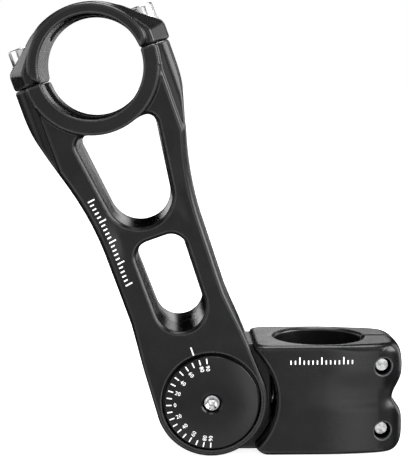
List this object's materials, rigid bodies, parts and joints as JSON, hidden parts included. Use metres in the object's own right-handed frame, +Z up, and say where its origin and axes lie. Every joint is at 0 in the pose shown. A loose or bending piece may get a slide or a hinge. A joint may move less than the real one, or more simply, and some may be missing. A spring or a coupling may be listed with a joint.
{
  "type": "adjustable handlebar stem",
  "caption": "Long bicycle stem: a steerer clamp, a hinged windowed extension arm with an angle dial and side lock plates, and a bolted faceplate for the handlebar.",
  "frame": {"origin": "on the steerer axis, in the plane of the steerer clamp's bottom face", "axes": "+Z up along the steerer, -X towards the handlebar (forward on the bicycle), +Y to the side away from the angle dial"},
  "size_m": [0.1232, 0.041, 0.1418],
  "materials": {
    "black_alloy": "satin black anodised aluminium",
    "dial_black": "satin black, slightly glossier than the forging, white scale",
    "bolt_steel": "bright plated steel",
    "washer_steel": "plain plated",
    "ring_steel": "machined steel",
    "seal_rubber": "matt",
    "bushing_plastic": "natural bearing plastic"
  },
  "bodies": {
    "base": {"steerer_clamp": "black_alloy", "steerer_bolts": "bolt_steel", "steerer_bolt_washers": "washer_steel", "knuckle_tooth_ring_near": "ring_steel", "knuckle_tooth_ring_far": "ring_steel", "pivot_sleeve": "ring_steel", "pivot_bolt_washer": "washer_steel", "angle_dial": "dial_black", "dial_dowels": "ring_steel", "dial_seal": "seal_rubber", "lock_plate": "dial_black", "lock_plate_dowels": "ring_steel", "lock_plate_seal": "seal_rubber"},
    "pivot_screw": {"pivot_bolt": "bolt_steel"},
    "arm": {"extension_arm": "black_alloy", "arm_tooth_ring_near": "ring_steel", "arm_tooth_ring_far": "ring_steel", "cheek_bushing_near": "bushing_plastic", "cheek_bushing_far": "bushing_plastic"},
    "faceplate_set": {"faceplate": "black_alloy", "faceplate_bolts": "bolt_steel", "faceplate_bolt_washers": "washer_steel"}
  },
  "joints": [
    {"name": "arm_angle", "type": "hinge", "parent": "base", "child": "arm", "pos_m": [-0.0352, 0, 0.0175], "axis": [0, 1, 0], "range_deg": [-146, 5]},
    {"name": "pivot_bolt_turn", "type": "hinge", "parent": "base", "child": "pivot_screw", "pos_m": [-0.0352, 0, 0.0175], "axis": [0, 1, 0], "continuous": true},
    {"name": "faceplate_lift", "type": "slide", "parent": "arm", "child": "faceplate_set", "axis": [-0.3322, 0, 0.9432], "range_m": [0, 0.03]}
  ]
}
